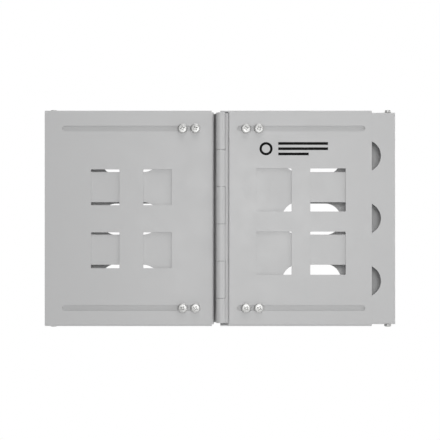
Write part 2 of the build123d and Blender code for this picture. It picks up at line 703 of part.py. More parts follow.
def make_tie_bar_screws():
    """The M3 screws in the feet of one half's tie bars."""
    screw = plate_screw(TIE_BAR_SHEET)
    return [facing_front(screw, x, FLOOR - TIE_BAR_SHEET, z) for x, z in tie_bar_holes()]


def make_earth_stud():
    """M4 stud pressed into the back shell."""
    stud = Pos(0, 0, EARTH_LENGTH / 2) * Cylinder(M4_R, EARTH_LENGTH)
    stud = chamfer(stud.edges().filter_by(GeomType.CIRCLE).sort_by(Axis.Z)[-1], THREAD_CHAMFER)
    collar = Pos(0, 0, EARTH_COLLAR / 2) * Cylinder(EARTH_COLLAR_R, EARTH_COLLAR)
    return facing_front(stud + collar, EARTH_X, FLOOR, -BAND_Z)


def make_earth_washer():
    """Plain washer under the earth nut."""
    outline = Circle(EARTH_WASHER_R) - Circle(M4_R + CLEAR_GAP)
    return facing_front(extrude(outline, amount=EARTH_WASHER), EARTH_X, FLOOR - EARTH_COLLAR, -BAND_Z)


def make_earth_nut():
    """Hexagon nut on the earth stud."""
    flats, height = EARTH_NUT
    hexagon = RegularPolygon(flats / 2, 6, major_radius=False) - Circle(M4_R + THREAD_GAP)
    nut = extrude(hexagon, amount=height)
    return facing_front(nut, EARTH_X, FLOOR - EARTH_COLLAR - EARTH_WASHER, -BAND_Z)


# ------------------------------------------------------------------- export

def left(pieces):
    """The same piece, or list of pieces, in the left half."""
    if isinstance(pieces, list):
        return [mirror(piece, Plane.YZ) for piece in pieces]
    return mirror(pieces, Plane.YZ)


def build_nodes():
    """Every node by name, in hinge-centred positions."""
    cassette_places = up_and_down(cassette_middle(), CASSETTE_SCREW_Z)
    nodes = {
        "right_tray": make_tray(),
        "right_back_shell": make_back_shell(bracket_feet()),
        "right_clamp_screws": make_clamp_screws(),
        "right_clinch_nuts": make_clinch_nuts(),
        "right_side_screws": make_side_screws(),
        "right_flush_screws": make_flush_screws(),
        "adapter_bracket": make_adapter_bracket(),
        "adapter_bracket_screws": make_bracket_screws(),
        "adapter_screws": make_adapter_screws(),
        "right_tie_bar_upper": make_tie_bar(BAND_Z),
        "right_tie_bar_lower": make_tie_bar(-BAND_Z),
        "right_tie_bar_screws": make_tie_bar_screws(),
        "earth_stud": make_earth_stud(),
        "earth_washer": make_earth_washer(),
        "earth_nut": make_earth_nut(),
        "right_sleeve": make_right_sleeve(),
        "right_hinge_leaf": make_right_leaf(),
        "hinge_pin": make_hinge_pin(),
        "left_sleeve": left(make_left_sleeve()),
        "left_hinge_leaf": left(make_left_leaf()),
        "left_tray": left(make_tray()),
        "left_back_shell": left(make_back_shell(cassette_places)),
        "left_clamp_screws": left(make_clamp_screws()),
        "left_clinch_nuts": left(make_clinch_nuts()),
        "left_side_screws": left(make_side_screws()),
        "left_flush_screws": left(make_flush_screws()),
        "splice_cassette": left(make_splice_cassette()),
        "splice_cassette_cover": left(make_cassette_cover()),
        "splice_cassette_screws": left(make_cassette_screws()),
        "splice_comb_upper": left(make_splice_comb(SPLICE_Z)),
        "splice_comb_lower": left(make_splice_comb(-SPLICE_Z)),
        "splice_protectors": left(make_splice_protectors()),
        "left_tie_bar_upper": left(make_tie_bar(BAND_Z)),
        "left_tie_bar_lower": left(make_tie_bar(-BAND_Z)),
        "left_tie_bar_screws": left(make_tie_bar_screws()),
    }
    for number, z in enumerate(adapter_heights(), start=1):
        nodes[f"sc_adapter_{number}"] = make_adapter(z)
        nodes[f"adapter_cap_inner_{number}"] = make_adapter_cap(z, -1)
        nodes[f"adapter_cap_outer_{number}"] = make_adapter_cap(z, 1)
    return nodes


os.makedirs("parts", exist_ok=True)
for node_name, piece in build_nodes().items():
    solids = piece if isinstance(piece, list) else piece.solids()
    group = Compound(children=[Pos(-BOLT_CENTRE, 0, 0) * solid for solid in solids])
    export_step(group, f"parts/{node_name}.step")
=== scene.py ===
"""Looks for the hinged, telescoping fibre termination box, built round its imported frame."""
import bpy
import bmesh
import json
import math
from mathutils import Matrix, Vector


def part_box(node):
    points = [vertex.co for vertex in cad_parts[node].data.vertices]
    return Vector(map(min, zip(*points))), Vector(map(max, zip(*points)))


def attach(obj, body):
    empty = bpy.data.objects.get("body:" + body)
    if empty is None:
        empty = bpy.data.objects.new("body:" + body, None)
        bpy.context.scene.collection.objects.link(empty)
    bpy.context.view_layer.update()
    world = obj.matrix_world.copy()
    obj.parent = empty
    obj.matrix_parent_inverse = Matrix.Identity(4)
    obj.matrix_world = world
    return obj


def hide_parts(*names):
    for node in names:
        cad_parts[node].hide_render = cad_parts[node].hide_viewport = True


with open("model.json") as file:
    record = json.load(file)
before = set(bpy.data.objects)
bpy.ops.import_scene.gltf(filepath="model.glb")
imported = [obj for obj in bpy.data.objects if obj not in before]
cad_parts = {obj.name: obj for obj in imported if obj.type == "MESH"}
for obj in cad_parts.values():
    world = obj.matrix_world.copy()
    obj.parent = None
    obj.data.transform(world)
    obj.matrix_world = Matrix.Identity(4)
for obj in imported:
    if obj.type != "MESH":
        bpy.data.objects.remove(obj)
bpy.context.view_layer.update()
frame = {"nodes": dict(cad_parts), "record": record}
MM = 0.001

POWDER_GREY = (0.600, 0.601, 0.602)
POWDER_DARK = (0.570, 0.571, 0.573)
PRINT_BLACK = (0.004, 0.004, 0.004)
ZINC = (0.66, 0.66, 0.65)
GALVANISED_LIGHT = (0.62, 0.64, 0.66)
GALVANISED_DARK = (0.42, 0.44, 0.46)
DARK_STEEL = (0.22, 0.22, 0.23)
BRASS = (0.78, 0.58, 0.25)
ADAPTER_BLUE = (0.018, 0.13, 0.46)
CAP_MILK = (0.80, 0.81, 0.79)
CASSETTE_BLACK = (0.022, 0.022, 0.024)
COMB_GREY = (0.34, 0.35, 0.36)
CLEAR_TINT = (0.90, 0.92, 0.92)
STUDIO_WHITE = (0.9, 0.9, 0.9)

# Cut edges and meshes
SHARP_ANGLE = math.radians(40)      # edges that turn by more than this are rounded
FLAT_ANGLE = math.radians(0.6)      # faces that turn by less than this are one face
WELD_GAP = 0.002 * MM
MERGE = 1e-4                        # millimetres
SHEET_EDGE = 0.16 * MM              # radius of each kind of cut edge
SMALL_PART_EDGE = 0.12 * MM
NUT_EDGE = 0.10 * MM
FLUSH_EDGE = 0.05 * MM
CASSETTE_EDGE = 0.25 * MM
ADAPTER_EDGE = 0.15 * MM
CAP_EDGE = 0.20 * MM

# Screws: shank radius and head radius, in millimetres
PAN_M4 = (2.0, 4.0)
PAN_M3 = (1.5, 2.8)
PAN_M2 = (1.0, 1.9)
SIDE_LENGTH = 6.0
HEAD_SIDE = 0.05 * MM               # how near a vertex is to the side of the heads to count as on it
LATHE_STEPS = 56
SMALL_LATHE_STEPS = 32
CREASE_ANGLE = math.radians(32)

# Screws: shares of the shank's radius
THREAD_PITCH = 0.24
THREAD_ROOT = 0.86
PLAIN_SHANK = 0.25                  # without thread under the head
LAST_TURN = 0.6                     # from the last turn to the head
TIP_WIDTH = 0.8                     # share of the root's radius

# Screws: shares of one turn of the thread
TIP_RISE = 0.4
FLANK_START = 0.35
CREST_END = 0.5
FLANK_END = 0.9

# Screws: shares of the head's height or radius
HEAD_RIM = 0.50
HEAD_SHOULDER = 0.42
HEAD_FOOT = 0.94
RIM_FOOT = 0.3                      # share of the rim's height
SHOULDER_TURN = 85                  # degrees
SHOULDER_STEPS = 8
CROWN_STEPS = 8

# Cross recess: width and arm as shares of the head's radius, top and depth of its height
CROSS = (1.05, 0.22, 1.05, 0.50)
CROSS_TAPER = 0.55
CONE_R = (0.16, 0.30)               # shares of the cross's width
CONE_DEPTH = 1.15                   # share of the cross's depth
CONE_SEGMENTS = 24

# The printed mark, in millimetres
MARK_X = 37.5
MARK_Z = 57.1
MARK_RING = (3.4, 5.4)
MARK_RING_SEGMENTS = 72
MARK_BARS = (40.8, 40.8, 25.0)
MARK_BAR_START = 10.0
MARK_BAR_HEIGHT = 2.2
MARK_PITCH = 4.3
MARK_INK = 0.02

# Camera and floor, in metres
CAMERA_DISTANCE = 0.834
CAMERA_DROP = 0.0207
SENSOR = 36.0                       # millimetres
VIEW_WIDTH = 0.3608
VIEW_SHIFT = (-0.0018, 0.0536)      # shares of the sensor's width
FLOOR_R = 1.4
FLOOR_DROP = 0.5
FLOOR_SEGMENTS = 96


# ------------------------------------------------------------ shader groups

def shader_group(name, inputs, outputs):
    """An empty node group with float inputs and outputs, and its two end nodes."""
    group = bpy.data.node_groups.new(name, "ShaderNodeTree")
    for socket, value in inputs.items():
        made = group.interface.new_socket(name=socket, in_out="INPUT", socket_type="NodeSocketFloat")
        made.default_value = value
    for socket in outputs:
        group.interface.new_socket(name=socket, in_out="OUTPUT", socket_type="NodeSocketFloat")
    start = group.nodes.new("NodeGroupInput")
    end = group.nodes.new("NodeGroupOutput")
    return group, start, end


def add_noise(tree, vector, scale, detail=3.0, roughness=0.5):
    """A noise texture on the given coordinates. Scale is a number or a socket."""
    noise = tree.nodes.new("ShaderNodeTexNoise")
    noise.inputs["Detail"].default_value = detail
    noise.inputs["Roughness"].default_value = roughness
    tree.links.new(vector, noise.inputs["Vector"])
    if isinstance(scale, (int, float)):
        noise.inputs["Scale"].default_value = scale
    else:
        tree.links.new(scale, noise.inputs["Scale"])
    return noise.outputs["Fac"]


def add_math(tree, operation, first, second=0.0):
    """A math node on numbers or sockets."""
    node = tree.nodes.new("ShaderNodeMath")
    node.operation = operation
    for socket, value in zip(node.inputs, (first, second)):
        if isinstance(value, (int, float)):
            socket.default_value = value
        else:
            tree.links.new(value, socket)
    return node.outputs[0]


def add_blend(tree, first, second, share):
    """A weighted sum of two sockets, with this share of the first."""
    return add_math(tree, "ADD", add_math(tree, "MULTIPLY", first, share),
                    add_math(tree, "MULTIPLY", second, 1 - share))


def add_range(tree, value, low=0.0, high=1.0, to_low=0.0, to_high=1.0):
    """Maps a value from one range to another and clamps it."""
    node = tree.nodes.new("ShaderNodeMapRange")
    for socket, number in zip(node.inputs[1:5], (low, high, to_low, to_high)):
        socket.default_value = number
    tree.links.new(value, node.inputs["Value"])
    return node.outputs["Result"]


def object_position(tree):
    """Object coordinates."""
    return tree.nodes.new("ShaderNodeTexCoord").outputs["Object"]


def attribute_value(tree, name):
    """A number stored on the mesh."""
    node = tree.nodes.new("ShaderNodeAttribute")
    node.attribute_name = name
    return node.outputs["Fac"]


def make_orange_peel():
    """Sprayed and baked coating: a soft ripple with a finer grain, and slow changes of tone and gloss."""
    inputs = {"Ripple": 900.0, "Grain": 5200.0}
    group, start, end = shader_group("orange_peel", inputs, ("Height", "Tone", "Gloss"))
    place = object_position(group)
    ripple = add_noise(group, place, start.outputs["Ripple"], detail=2.0, roughness=0.45)
    grain = add_noise(group, place, start.outputs["Grain"], roughness=0.6)
    height = add_blend(group, ripple, grain, share=0.75)
    drift = add_range(group, add_noise(group, place, scale=9.0, detail=2.0), low=0.3, high=0.7)
    speck = add_range(group, grain, low=0.35, high=0.7)
    tone = add_blend(group, drift, speck, share=0.6)
    patches = add_noise(group, place, scale=60.0, detail=4.0, roughness=0.6)
    gloss = add_range(group, patches, low=0.3, high=0.7)
    group.links.new(height, end.inputs["Height"])
    group.links.new(tone, end.inputs["Tone"])
    group.links.new(gloss, end.inputs["Gloss"])
    return group


def make_handling_marks():
    """Fine hairline scratches and smudges: a mask of each."""
    group, start, end = shader_group("handling_marks", {"Scale": 220.0}, ("Scratches", "Smudges"))
    place = object_position(group)
    lines = []
    hairlines = ((0.4, 26.0), (-0.9, 34.0))     # turn in radians, stretch
    for turn, stretch in hairlines:
        mapping = group.nodes.new("ShaderNodeMapping")
        mapping.inputs["Rotation"].default_value = (turn, turn, turn)
        mapping.inputs["Scale"].default_value = (1.0, stretch, 1.0)
        group.links.new(place, mapping.inputs["Vector"])
        noise = add_noise(group, mapping.outputs["Vector"], start.outputs["Scale"], detail=2.0)
        lines.append(add_range(group, noise, low=0.66, high=0.74))
    scratches = add_math(group, "MAXIMUM", *lines)
    clouds = add_noise(group, place, scale=45.0, detail=5.0, roughness=0.65)
    smudges = add_range(group, clouds, low=0.45, high=0.75)
    group.links.new(scratches, end.inputs["Scratches"])
    group.links.new(smudges, end.inputs["Smudges"])
    return group


def make_turned_rings():
    """Concentric tool marks, from the distance to the lathe axis stored on the mesh in millimetres."""
    group, start, end = shader_group("turned_rings", {"Pitch": 0.12}, ("Height",))
    radius = attribute_value(group, "turn_radius")
    turns = add_math(group, "DIVIDE", radius, start.outputs["Pitch"])
    wave = add_math(group, "SINE", add_math(group, "MULTIPLY", turns, math.tau))
    shake = add_noise(group, object_position(group), scale=1800.0, detail=2.0)
    height = add_math(group, "MULTIPLY", wave, shake)
    group.links.new(height, end.inputs["Height"])
    return group


ORANGE_PEEL = make_orange_peel()
HANDLING_MARKS = make_handling_marks()
TURNED_RINGS = make_turned_rings()


# ---------------------------------------------------------------- materials

def start_material(name):
    """A material with its Principled BSDF."""
    material = bpy.data.materials.new(name)
    material.use_nodes = True
    return material, material.node_tree, material.node_tree.nodes["Principled BSDF"]


def place_group(tree, group, **values):
    """A group node in a material, with its inputs set."""
    node = tree.nodes.new("ShaderNodeGroup")
    node.node_tree = group
    for socket, value in values.items():
        node.inputs[socket].default_value = value
    return node


def mix_colour(tree, factor, first, second):
    """A colour mix. Each colour is three numbers or a socket."""
    mix = tree.nodes.new("ShaderNodeMix")
    mix.data_type = "RGBA"
    tree.links.new(factor, mix.inputs["Factor"])
    for socket, colour in ((mix.inputs["A"], first), (mix.inputs["B"], second)):
        if isinstance(colour, tuple):
            socket.default_value = (*colour, 1.0)
        else:
            tree.links.new(colour, socket)
    return mix.outputs["Result"]


def shaded(colour, share):
    """A colour made darker or lighter by a share."""
    return tuple(share * channel for channel in colour)


def bump(tree, shader, height, distance, strength):
    """Raises the surface by a height, over a distance in metres."""
    node = tree.nodes.new("ShaderNodeBump")
    node.inputs["Strength"].default_value = strength
    node.inputs["Distance"].default_value = distance
    tree.links.new(height, node.inputs["Height"])
    tree.links.new(node.outputs["Normal"], shader.inputs["Normal"])


def powder_coat():
    """Light grey powder coat, with a painted highlight: the rounded cut edges are painted a little paler."""
    material, tree, shader = start_material("powder_coat")
    peel = place_group(tree, ORANGE_PEEL)
    marks = place_group(tree, HANDLING_MARKS)
    colour = mix_colour(tree, peel.outputs["Tone"], POWDER_DARK, POWDER_GREY)
    # painted highlight: the cut-edge faces mix halfway towards a paler grey, standing in for light caught on
    # the edges
    edge = add_range(tree, attribute_value(tree, "cut_edge"), to_high=0.5)
    edge_highlight_colour = shaded(POWDER_GREY, 1.08)
    tree.links.new(mix_colour(tree, edge, colour, edge_highlight_colour), shader.inputs["Base Color"])
    gloss = add_range(tree, peel.outputs["Gloss"], to_low=0.40, to_high=0.50)
    dulled = add_range(tree, marks.outputs["Smudges"], to_high=0.05)
    tree.links.new(add_math(tree, "ADD", gloss, dulled), shader.inputs["Roughness"])
    shader.inputs["Specular IOR Level"].default_value = 0.4
    bump(tree, shader, peel.outputs["Height"], distance=0.012 * MM, strength=0.6)
    return material


def plated_steel(name, base, rough_low, rough_high):
    """Plated or bare turned metal with rings, hairlines and smudges."""
    material, tree, shader = start_material(name)
    marks = place_group(tree, HANDLING_MARKS, Scale=700.0)
    rings = place_group(tree, TURNED_RINGS)
    dull = shaded(base, 0.82)
    tree.links.new(mix_colour(tree, marks.outputs["Smudges"], base, dull), shader.inputs["Base Color"])
    shader.inputs["Metallic"].default_value = 1.0
    smudged = add_range(tree, marks.outputs["Smudges"], to_low=rough_low, to_high=rough_high)
    scratched = add_range(tree, marks.outputs["Scratches"], to_high=0.12)
    tree.links.new(add_math(tree, "ADD", smudged, scratched), shader.inputs["Roughness"])
    bump(tree, shader, rings.outputs["Height"], distance=0.004 * MM, strength=0.5)
    return material


def galvanised():
    """Zinc-dipped sheet with its crystal spangle."""
    material, tree, shader = start_material("galvanised")
    spangle = tree.nodes.new("ShaderNodeTexVoronoi")
    spangle.inputs["Scale"].default_value = 260.0
    tree.links.new(object_position(tree), spangle.inputs["Vector"])
    cell = tree.nodes.new("ShaderNodeSeparateColor")
    tree.links.new(spangle.outputs["Color"], cell.inputs["Color"])
    colour = mix_colour(tree, cell.outputs["Red"], GALVANISED_DARK, GALVANISED_LIGHT)
    tree.links.new(colour, shader.inputs["Base Color"])
    shader.inputs["Metallic"].default_value = 1.0
    rough = add_range(tree, cell.outputs["Green"], to_low=0.30, to_high=0.52)
    tree.links.new(rough, shader.inputs["Roughness"])
    bump(tree, shader, cell.outputs["Blue"], distance=0.01 * MM, strength=0.3)
    return material


def moulded(name, base, rough, grain, subsurface=0.0):
    """Moulded plastic with a spark-eroded grain and slow gloss changes."""
    material, tree, shader = start_material(name)
    peel = place_group(tree, ORANGE_PEEL, Ripple=grain, Grain=3.0 * grain)
    shade = shaded(base, 0.86)
    tree.links.new(mix_colour(tree, peel.outputs["Tone"], shade, base), shader.inputs["Base Color"])
    gloss = add_range(tree, peel.outputs["Gloss"], to_low=rough - 0.05, to_high=rough + 0.07)
    tree.links.new(gloss, shader.inputs["Roughness"])
    shader.inputs["Subsurface Weight"].default_value = subsurface
    shader.inputs["Subsurface Radius"].default_value = (MM, MM, MM)
    bump(tree, shader, peel.outputs["Height"], distance=0.02 * MM, strength=0.5)
    return material


def clear_plastic(name, rough):
    """Clear plastic with faint moulding ripples."""
    material, tree, shader = start_material(name)
    peel = place_group(tree, ORANGE_PEEL, Ripple=300.0, Grain=4000.0)
    tint = mix_colour(tree, peel.outputs["Tone"], shaded(CLEAR_TINT, 0.97), CLEAR_TINT)
    tree.links.new(tint, shader.inputs["Base Color"])
    gloss = add_range(tree, peel.outputs["Gloss"], to_low=rough, to_high=rough + 0.06)
    tree.links.new(gloss, shader.inputs["Roughness"])
    shader.inputs["Transmission Weight"].default_value = 1.0
    shader.inputs["IOR"].default_value = 1.5
    bump(tree, shader, peel.outputs["Height"], distance=0.01 * MM, strength=0.3)
    return material


def print_ink():
    """Screen-printed ink: nearly black, with a slight mottle."""
    material, tree, shader = start_material("print_ink")
    peel = place_group(tree, ORANGE_PEEL, Ripple=1500.0, Grain=7000.0)
    ink = mix_colour(tree, peel.outputs["Tone"], PRINT_BLACK, shaded(PRINT_BLACK, 1.8))
    tree.links.new(ink, shader.inputs["Base Color"])
    gloss = add_range(tree, peel.outputs["Gloss"], to_low=0.62, to_high=0.75)
    tree.links.new(gloss, shader.inputs["Roughness"])
    shader.inputs["Specular IOR Level"].default_value = 0.12
    bump(tree, shader, peel.outputs["Height"], distance=0.01 * MM, strength=0.4)
    return material


FINISHES = {
    "powder_coat": powder_coat(),
    "zinc_steel": plated_steel("zinc_steel", ZINC, rough_low=0.50, rough_high=0.60),
    "galvanised_sheet": galvanised(),
    "brass_hardware": plated_steel("brass_hardware", BRASS, rough_low=0.24, rough_high=0.40),
    "adapter_plastic": moulded("adapter_plastic", ADAPTER_BLUE, rough=0.30, grain=1600.0),
    "cap_plastic": moulded("cap_plastic", CAP_MILK, rough=0.42, grain=1200.0, subsurface=0.25),
    "cassette_plastic": moulded("cassette_plastic", CASSETTE_BLACK, rough=0.48, grain=2200.0),
    "clear_cover": clear_plastic("clear_cover", rough=0.04),
    "comb_rubber": moulded("comb_rubber", COMB_GREY, rough=0.66, grain=2600.0),
    "protector_plastic": clear_plastic("protector_plastic", rough=0.10),
}
PRINT_INK = print_ink()
PIN_STEEL = plated_steel("pin_steel", DARK_STEEL, rough_low=0.35, rough_high=0.50)
NODE_SLOT = {part["node"]: part["material_slot"] for part in frame["record"]["subparts"]}
BODIES = frame["record"]["behaviour"]["bodies"]
NODE_BODY = {node: body for body, nodes in BODIES.items() for node in nodes}


# -------------------------------------------------------------------- pieces

def to_mesh(shape, name):
    """Frees a bmesh into a new mesh."""
    mesh = bpy.data.meshes.new(name)
    shape.to_mesh(mesh)
    shape.free()
    return mesh


def finish_mesh(name, mesh, finish):
    """Links a mesh as an object at the origin with one material."""
    mesh.materials.clear()
    mesh.materials.append(finish)
    piece = bpy.data.objects.new(name, mesh)
    bpy.context.scene.collection.objects.link(piece)
    return piece


def stand_for(piece, *nodes):
    """The piece takes the place and the body of CAD nodes: it joins the first node's body, and the nodes are
    hidden.
    """
    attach(piece, NODE_BODY[nodes[0]])
    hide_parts(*nodes)
    return piece


def soften(piece):
    """Smooth shading that keeps flat faces flat."""
    weighted = piece.modifiers.new("weighted_normals", "WEIGHTED_NORMAL")
    weighted.keep_sharp = True
    weighted.weight = 90


def turns_more(edge, angle):
    """Whether the two faces at an edge meet at more than an angle."""
    return edge.is_manifold and edge.calc_face_angle() > angle


def ease_edges(shape, width):
    """Rounds the sharp edges, and marks the new faces as cut edges."""
    sharp = [edge for edge in shape.edges if turns_more(edge, SHARP_ANGLE)]
    mark = shape.faces.layers.float.get("cut_edge") or shape.faces.layers.float.new("cut_edge")
    made = bmesh.ops.bevel(shape, geom=sharp, offset=width, offset_type="OFFSET", affect="EDGES",
                           segments=2, profile=0.5, material=-1, clamp_overlap=True, loop_slide=False)
    for face in made["faces"]:
        face[mark] = 1.0


def eased_copy(node, width):
    """A merged copy of a CAD node with its cut edges rounded, standing for the node."""
    shape = bmesh.new()
    shape.from_mesh(frame["nodes"][node].data)
    bmesh.ops.remove_doubles(shape, verts=shape.verts, dist=WELD_GAP)
    bmesh.ops.dissolve_limit(shape, angle_limit=FLAT_ANGLE, verts=shape.verts, edges=shape.edges)
    ease_edges(shape, width)
    bmesh.ops.triangulate(shape, faces=[face for face in shape.faces if len(face.verts) > 4])
    for face in shape.faces:
        face.smooth = True
    piece = finish_mesh(node + "_eased", to_mesh(shape, node + "_eased"), FINISHES[NODE_SLOT[node]])
    soften(piece)
    return stand_for(piece, node)


def lathe(outline, steps):
    """Turns an outline of (radius, height) points in millimetres about Z."""
    shape = bmesh.new()
    points = [shape.verts.new((radius, 0.0, height)) for radius, height in outline]
    edges = [shape.edges.new(pair) for pair in zip(points, points[1:])]
    bmesh.ops.spin(shape, geom=points + edges, axis=(0, 0, 1), cent=(0, 0, 0), angle=math.tau,
                   steps=steps, use_merge=True)
    bmesh.ops.remove_doubles(shape, verts=shape.verts, dist=MERGE)
    bmesh.ops.recalc_face_normals(shape, faces=shape.faces)
    return shape


def arc(centre, radius, start, end, count):
    """Points of an arc in an outline, with angles in degrees from the radius axis."""
    turns = [math.radians(start + (end - start) * step / count) for step in range(count + 1)]
    return [(centre[0] + radius * math.cos(turn), centre[1] + radius * math.sin(turn)) for turn in turns]


def carve(shape, cutter):
    """Cuts one closed mesh out of another. Both are a thousand times full size, which suits the solver."""
    body = bpy.data.objects.new("carve_body", shape)
    tool = bpy.data.objects.new("carve_tool", cutter)
    for part in (body, tool):
        bpy.context.scene.collection.objects.link(part)
    cut = body.modifiers.new("cut", "BOOLEAN")
    cut.operation = "DIFFERENCE"
    cut.solver = "EXACT"
    cut.use_self = True
    cut.object = tool
    result = bpy.data.meshes.new_from_object(body.evaluated_get(bpy.context.evaluated_depsgraph_get()))
    for part in (body, tool):
        bpy.data.objects.remove(part)
    return result


def cross_cutter(width, arm, top, depth):
    """A cross driver's recess: two wings and a cone that all narrow downwards."""
    shape = bmesh.new()
    for size in ((width, arm), (arm, width)):
        wing = bmesh.ops.create_cube(shape, size=1.0)["verts"]
        bmesh.ops.scale(shape, vec=(*size, depth), verts=wing)
        bmesh.ops.translate(shape, vec=(0, 0, top - depth / 2), verts=wing)
        low = [vert for vert in wing if vert.co.z < top - depth / 2]
        bmesh.ops.scale(shape, vec=(CROSS_TAPER, CROSS_TAPER, 1.0), verts=low)
    low_r, high_r = (share * width for share in CONE_R)
    cone_depth = CONE_DEPTH * depth
    cone = bmesh.ops.create_cone(shape, cap_ends=True, segments=CONE_SEGMENTS, radius1=low_r,
                                 radius2=high_r, depth=cone_depth)["verts"]
    bmesh.ops.translate(shape, vec=(0, 0, top - cone_depth / 2), verts=cone)
    return to_mesh(shape, "cross_cutter")


def shank_outline(shank_r, length):
    """Outline of a threaded shank that hangs from the height 0, from its tip up."""
    pitch = THREAD_PITCH * shank_r
    root = THREAD_ROOT * shank_r
    outline = [(0, -length), (root * TIP_WIDTH, -length), (root, -length + TIP_RISE * pitch)]
    for turn in range(int((length - LAST_TURN * shank_r) / pitch)):
        low = -length + (turn + 0.5) * pitch
        outline += [(shank_r, low + FLANK_START * pitch), (shank_r, low + CREST_END * pitch)]
        outline.append((root, low + FLANK_END * pitch))
    return outline + [(shank_r, -PLAIN_SHANK * shank_r), (shank_r, 0)]


def head_outline(head_r, height):
    """Outline of a pan head that stands on the height 0: an upright rim, a round shoulder and a low crown."""
    rim = HEAD_RIM * height
    shoulder = HEAD_SHOULDER * height
    outline = [(HEAD_FOOT * head_r, 0), (head_r, RIM_FOOT * rim), (head_r, rim)]
    outline += arc((head_r - shoulder, rim), shoulder, 0, SHOULDER_TURN, SHOULDER_STEPS)[1:]
    edge_r, edge_z = outline[-1]
    for step in range(1, CROWN_STEPS + 1):
        share = step / CROWN_STEPS
        rise = (height - edge_z) * math.sin(share * math.pi / 2)
        outline.append((edge_r * (1 - share), edge_z + rise))
    return outline


def pan_screw_mesh(size, head_height, length, steps=LATHE_STEPS):
    """A cross-recessed pan head screw in millimetres, standing on its head's underside, with cut threads."""
    shank_r, head_r = size
    outline = shank_outline(shank_r, length) + head_outline(head_r, head_height)
    body = to_mesh(lathe(outline, steps), "screw")
    width, arm, top, depth = CROSS
    cutter = cross_cutter(width * head_r, arm * head_r, top * head_height, depth * head_height)
    shape = bmesh.new()
    shape.from_mesh(carve(body, cutter))
    bmesh.ops.remove_doubles(shape, verts=shape.verts, dist=MERGE)
    radius = shape.verts.layers.float.new("turn_radius")
    for vert in shape.verts:
        vert[radius] = math.hypot(vert.co.x, vert.co.y)
    for edge in shape.edges:
        edge.smooth = not turns_more(edge, CREASE_ANGLE)
    for face in shape.faces:
        face.smooth = True
    return to_mesh(shape, "pan_screw")


def repeat_mesh(name, mesh, places, finish):
    """One piece that holds a copy of a millimetre mesh at each place."""
    shape = bmesh.new()
    for place in places:
        before = len(shape.verts)
        shape.from_mesh(mesh)
        shape.verts.ensure_lookup_table()
        bmesh.ops.transform(shape, matrix=place @ Matrix.Scale(MM, 4), verts=shape.verts[before:])
    return finish_mesh(name, to_mesh(shape, name), finish)


TO_FRONT = Matrix.Rotation(math.radians(90), 4, "X")
TO_HINGE = Matrix.Rotation(math.radians(-90), 4, "Y")
DOWN = Matrix.Rotation(math.pi, 4, "X")


def centre_of(node):
    """Middle of a node's box."""
    low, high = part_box(node)
    return (low + high) / 2


def head_seat(node, along, across):
    """Where a node's screw heads sit along an axis: the undermost vertices on its outermost heads' sides."""
    spots = [vert.co for vert in frame["nodes"][node].data.vertices]
    side = min(spot[across] for spot in spots) + HEAD_SIDE
    return max(spot[along] for spot in spots if spot[across] < side)


def two_ends(low, high, margin):
    """Where the outermost screws of a row sit: one in the middle if there is only one."""
    if high - low < 3 * margin:
        return [(low + high) / 2]
    return [low + margin, high - margin]


def turned(place, step, count):
    """A screw's place, with the cross left at an angle that depends on how many screws came before."""
    return place @ Matrix.Rotation(step * (1 + count), 4, "Z")


def front_screws(node, size, turn):
    """Screws that face the front, one in each corner of their node's box."""
    low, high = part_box(node)
    head_r = size[1] * MM
    seat = head_seat(node, along=1, across=0)
    mesh = pan_screw_mesh(size, (seat - low.y) / MM, (high.y - seat) / MM)
    places = []
    for x in two_ends(low.x, high.x, head_r):
        for z in two_ends(low.z, high.z, head_r):
            places.append(turned(Matrix.Translation((x, seat, z)) @ TO_FRONT, turn, len(places)))
    return stand_for(repeat_mesh(node + "_turned", mesh, places, FINISHES["zinc_steel"]), node)


def side_screws(node):
    """The two screws that stand out of a tray's top and bottom walls."""
    middle = centre_of(node)
    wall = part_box(node.replace("side_screws", "tray"))[1].z
    mesh = pan_screw_mesh(PAN_M3, (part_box(node)[1].z - wall) / MM, SIDE_LENGTH)
    top = turned(Matrix.Translation((middle.x, middle.y, wall)), 0.5, 0)
    lower = turned(Matrix.Translation((middle.x, middle.y, -wall)) @ DOWN, 0.5, 1)
    return stand_for(repeat_mesh(node + "_turned", mesh, [top, lower], FINISHES["zinc_steel"]), node)


def adapter_screws():
    """Two small screws in each adapter's flange, facing the hinge."""
    low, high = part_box("adapter_screws")
    head_r = PAN_M2[1] * MM
    seat = head_seat("adapter_screws", along=0, across=2)
    mesh = pan_screw_mesh(PAN_M2, (seat - low.x) / MM, (high.x - seat) / MM, SMALL_LATHE_STEPS)
    rise = high.z - head_r - centre_of("sc_adapter_6").z
    places = []
    for number in range(1, 7):
        for side in (-1, 1):
            z = centre_of(f"sc_adapter_{number}").z + side * rise
            place = Matrix.Translation((seat, (low.y + high.y) / 2, z)) @ TO_HINGE
            places.append(turned(place, 0.7, len(places)))
    piece = repeat_mesh("adapter_screws_turned", mesh, places, FINISHES["zinc_steel"])
    return stand_for(piece, "adapter_screws")


